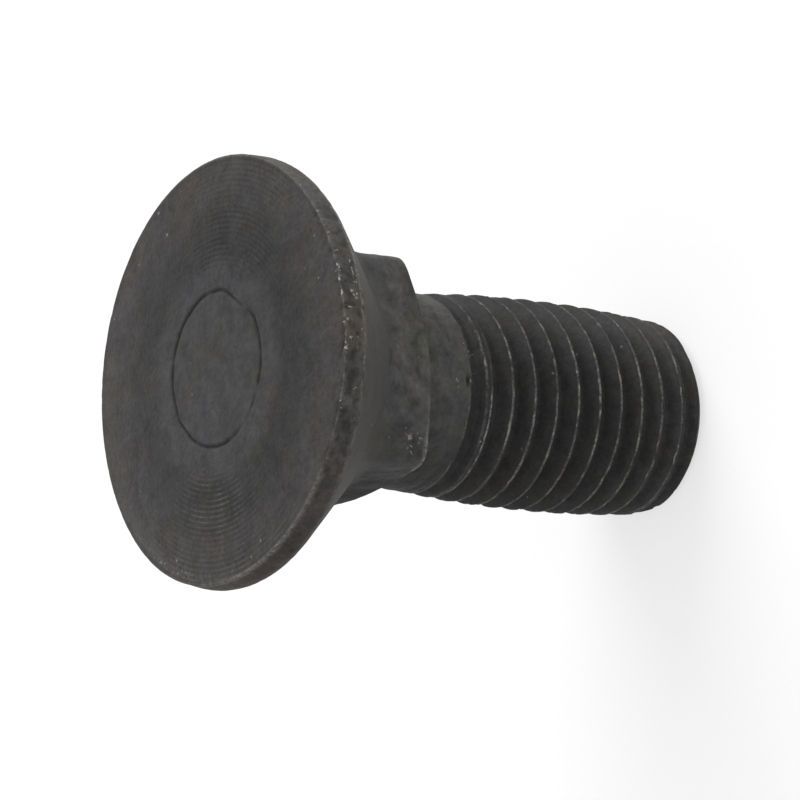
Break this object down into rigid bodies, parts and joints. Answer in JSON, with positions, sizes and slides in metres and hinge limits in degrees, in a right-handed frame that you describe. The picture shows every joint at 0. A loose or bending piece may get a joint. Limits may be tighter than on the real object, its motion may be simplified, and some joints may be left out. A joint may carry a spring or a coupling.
{
  "type": "plow bolt",
  "caption": "Forged steel plow bolt with a round countersunk head, a square neck and a coarse right-hand rolled thread.",
  "frame": {"origin": "centre of the flat of the point, which the bolt stands on", "axes": "+Z along the bolt's axis towards the head; X and Y square to the flats of the neck"},
  "size_m": [0.0512, 0.0512, 0.0635],
  "materials": {
    "black_oxide_steel": "worn black oxide on forged steel, with bare metal showing along the thread crests and the rim's edge"
  },
  "bodies": {
    "root": {"plow_bolt": "black_oxide_steel"}
  },
  "joints": []
}
